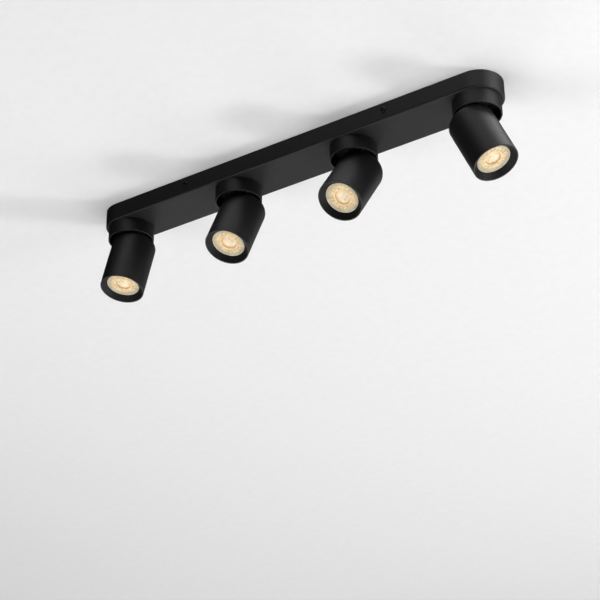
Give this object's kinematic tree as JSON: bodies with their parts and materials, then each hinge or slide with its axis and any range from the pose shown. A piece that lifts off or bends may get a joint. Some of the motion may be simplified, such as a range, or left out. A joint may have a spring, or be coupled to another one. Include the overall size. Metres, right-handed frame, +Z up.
{
  "type": "ceiling spotlight bar",
  "caption": "Matte black ceiling spotlight bar: a flat round-ended canopy with cylindrical spots that pan and tilt under short collars.",
  "frame": {"origin": "centre of the bar on the ceiling face", "axes": "+X along the bar, +Z up into the ceiling, so the spots hang towards -Z"},
  "size_m": [0.6265, 0.0906, 0.1348],
  "materials": {
    "black_powder_coat": "fine matte powder coat",
    "black_baffle": "matte",
    "black_steel": "black oxide",
    "zinc_plate": "zinc plated",
    "brass": "turned",
    "black_rubber": "matte",
    "white_nylon": "satin",
    "cream_ceramic": "glazed",
    "white_lamp_plastic": "satin",
    "lamp_lens": "clear moulded optic",
    "brown_insulation": "satin",
    "blue_insulation": "satin",
    "green_insulation": "satin",
    "white_insulation": "silicone"
  },
  "bodies": {
    "canopy": {"canopy_cover": "black_powder_coat", "ceiling_bracket": "zinc_plate", "cover_screws": "black_steel", "cable_bush": "black_rubber", "terminal_block": "white_nylon", "terminal_barrels": "brass", "terminal_screws": "zinc_plate", "earth_stud": "brass", "wiring_earth": "green_insulation", "wiring_live": "brown_insulation", "wiring_neutral": "blue_insulation"},
    "turret_1": {"collar_1": "black_powder_coat", "swivel_stem_1": "zinc_plate", "seat_nut_1": "zinc_plate", "slide_nut_1": "zinc_plate", "stem_leads_1": "white_insulation"},
    "head_1": {"head_shell_1": "black_powder_coat", "front_baffle_1": "black_baffle", "holder_bracket_1": "zinc_plate", "lamp_holder_1": "cream_ceramic", "lamp_body_1": "white_lamp_plastic", "lamp_lens_1": "lamp_lens", "holder_leads_1": "white_insulation"},
    "turret_2": {"collar_2": "black_powder_coat", "swivel_stem_2": "zinc_plate", "seat_nut_2": "zinc_plate", "slide_nut_2": "zinc_plate", "stem_leads_2": "white_insulation"},
    "head_2": {"head_shell_2": "black_powder_coat", "front_baffle_2": "black_baffle", "holder_bracket_2": "zinc_plate", "lamp_holder_2": "cream_ceramic", "lamp_body_2": "white_lamp_plastic", "lamp_lens_2": "lamp_lens", "holder_leads_2": "white_insulation"},
    "turret_3": {"collar_3": "black_powder_coat", "swivel_stem_3": "zinc_plate", "seat_nut_3": "zinc_plate", "slide_nut_3": "zinc_plate", "stem_leads_3": "white_insulation"},
    "head_3": {"head_shell_3": "black_powder_coat", "front_baffle_3": "black_baffle", "holder_bracket_3": "zinc_plate", "lamp_holder_3": "cream_ceramic", "lamp_body_3": "white_lamp_plastic", "lamp_lens_3": "lamp_lens", "holder_leads_3": "white_insulation"},
    "turret_4": {"collar_4": "black_powder_coat", "swivel_stem_4": "zinc_plate", "seat_nut_4": "zinc_plate", "slide_nut_4": "zinc_plate", "stem_leads_4": "white_insulation"},
    "head_4": {"head_shell_4": "black_powder_coat", "front_baffle_4": "black_baffle", "holder_bracket_4": "zinc_plate", "lamp_holder_4": "cream_ceramic", "lamp_body_4": "white_lamp_plastic", "lamp_lens_4": "lamp_lens", "holder_leads_4": "white_insulation"}
  },
  "joints": [
    {"name": "pan_1", "type": "hinge", "parent": "canopy", "child": "turret_1", "pos_m": [-0.2715, 0, -0.0255], "axis": [0, 0, 1], "range_deg": [-145, 185]},
    {"name": "tilt_1", "type": "hinge", "parent": "turret_1", "child": "head_1", "pos_m": [-0.2715, 0, -0.0755], "axis": [-0.9397, 0.342, 0], "range_deg": [-13, 22]},
    {"name": "pan_2", "type": "hinge", "parent": "canopy", "child": "turret_2", "pos_m": [-0.0905, 0, -0.0255], "axis": [0, 0, 1], "range_deg": [-150, 180]},
    {"name": "tilt_2", "type": "hinge", "parent": "turret_2", "child": "head_2", "pos_m": [-0.0905, 0, -0.0755], "axis": [-0.9659, 0.2588, 0], "range_deg": [-22.5, 12.5]},
    {"name": "pan_3", "type": "hinge", "parent": "canopy", "child": "turret_3", "pos_m": [0.0905, 0, -0.0255], "axis": [0, 0, 1], "range_deg": [-152, 178]},
    {"name": "tilt_3", "type": "hinge", "parent": "turret_3", "child": "head_3", "pos_m": [0.0905, 0, -0.0755], "axis": [-0.9744, 0.225, 0], "range_deg": [-32, 3]},
    {"name": "pan_4", "type": "hinge", "parent": "canopy", "child": "turret_4", "pos_m": [0.2715, 0, -0.0255], "axis": [0, 0, 1], "range_deg": [-259, 71]},
    {"name": "tilt_4", "type": "hinge", "parent": "turret_4", "child": "head_4", "pos_m": [0.2715, 0, -0.0755], "axis": [0.0698, -0.9976, 0], "range_deg": [-23, 12]}
  ]
}
